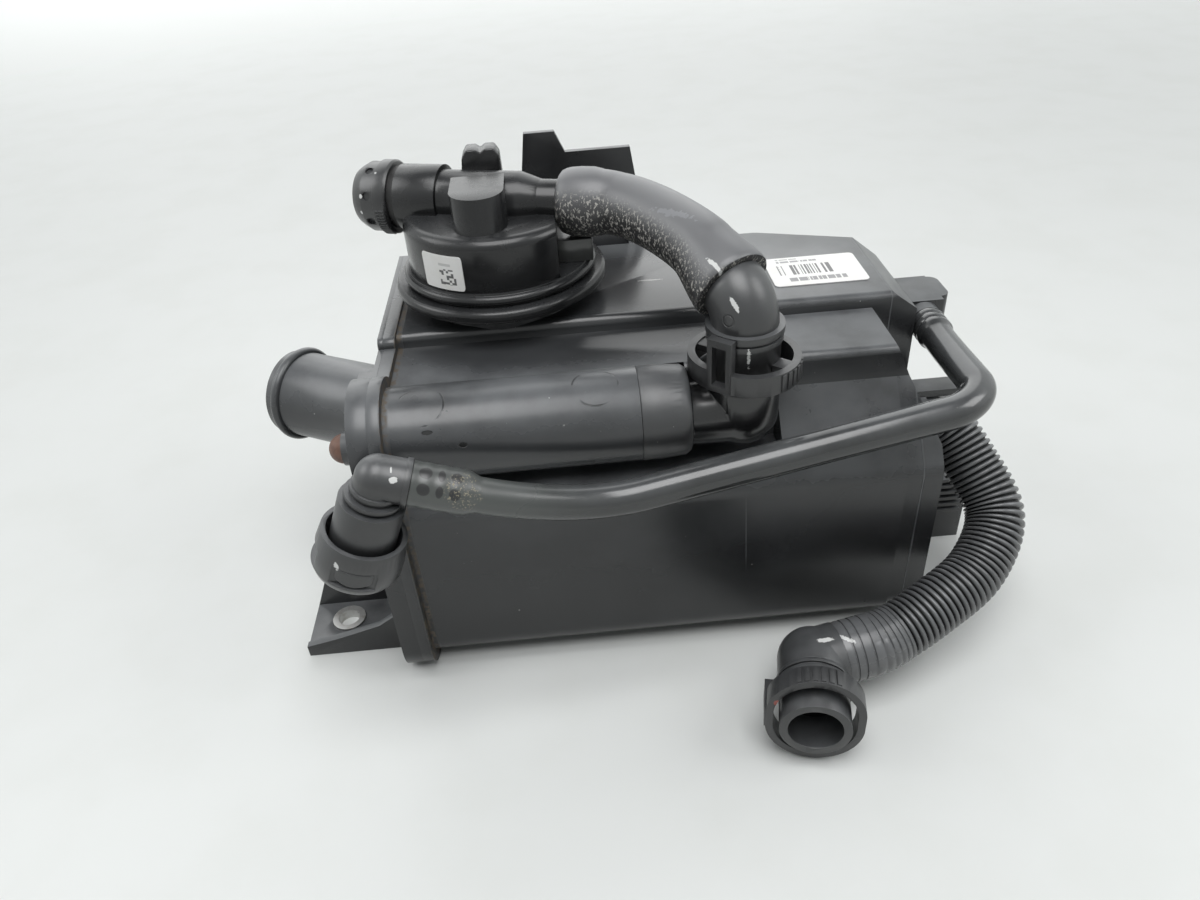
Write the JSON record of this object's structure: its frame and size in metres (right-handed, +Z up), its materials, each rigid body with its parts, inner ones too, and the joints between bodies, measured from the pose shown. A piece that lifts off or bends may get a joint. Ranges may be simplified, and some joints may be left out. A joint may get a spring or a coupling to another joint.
{
  "type": "charcoal canister",
  "caption": "Black moulded fuel-vapour canister with a leak-diagnosis pump on its roof, a grey air hose, a corrugated vent pipe and quick connectors.",
  "frame": {"origin": "centre of the bottom of the part's box, on the surface that it rests on", "axes": "+X along the casing from the wide port to the vent side, +Y towards the hidden back, +Z up"},
  "size_m": [0.298, 0.2042, 0.18],
  "materials": {
    "casing": "fine moulded grain, dusty",
    "sleeve": "plain steel",
    "plug": "brown, dull",
    "charcoal": "black granules",
    "charcoal_core": "black honeycomb",
    "fleece": "felted",
    "plate": "moulded",
    "spring": "bright wire",
    "seal": "dark red, dull",
    "dark_seal": "black, dull",
    "cap": "lighter moulded grain",
    "pump_base": "smooth",
    "pump_housing": "smooth, glossy",
    "motor": "satin",
    "socket": "smooth, slightly see-through grey",
    "pin": "tinned",
    "label": "blank sticker",
    "coupling": "dull",
    "hose": "scuffed grey",
    "connector": "satin",
    "lock_ring": "satin",
    "clip": "satin",
    "pipe": "satin",
    "corrugated_pipe": "satin"
  },
  "bodies": {
    "root": {"canister_shell": "casing", "end_cover": "casing", "bracket_sleeve": "sleeve", "cover_plug": "plug", "main_charcoal": "charcoal", "front_charcoal": "charcoal", "main_fleece_pads": "fleece", "front_fleece_pads": "fleece", "main_press_plate": "plate", "front_press_plate": "plate", "press_springs": "spring", "scrubber_core": "charcoal_core", "scrubber_seals": "dark_seal", "scrubber_cap": "cap", "pump_seal": "dark_seal", "pump_base": "pump_base", "pump_housing": "pump_housing", "pump_motor": "motor", "pump_socket": "socket", "socket_pins": "pin", "pump_label": "label", "air_seal": "dark_seal", "air_coupling": "coupling", "pump_hose": "hose", "hose_elbow": "connector", "hose_seal": "seal", "hose_lock_ring": "lock_ring", "purge_pipe": "pipe", "purge_elbow": "connector", "purge_seal": "seal", "purge_clip": "clip", "vent_pipe": "corrugated_pipe", "vent_elbow": "connector", "vent_seal": "seal", "vent_lock_ring": "lock_ring", "roof_label": "label"}
  },
  "joints": []
}
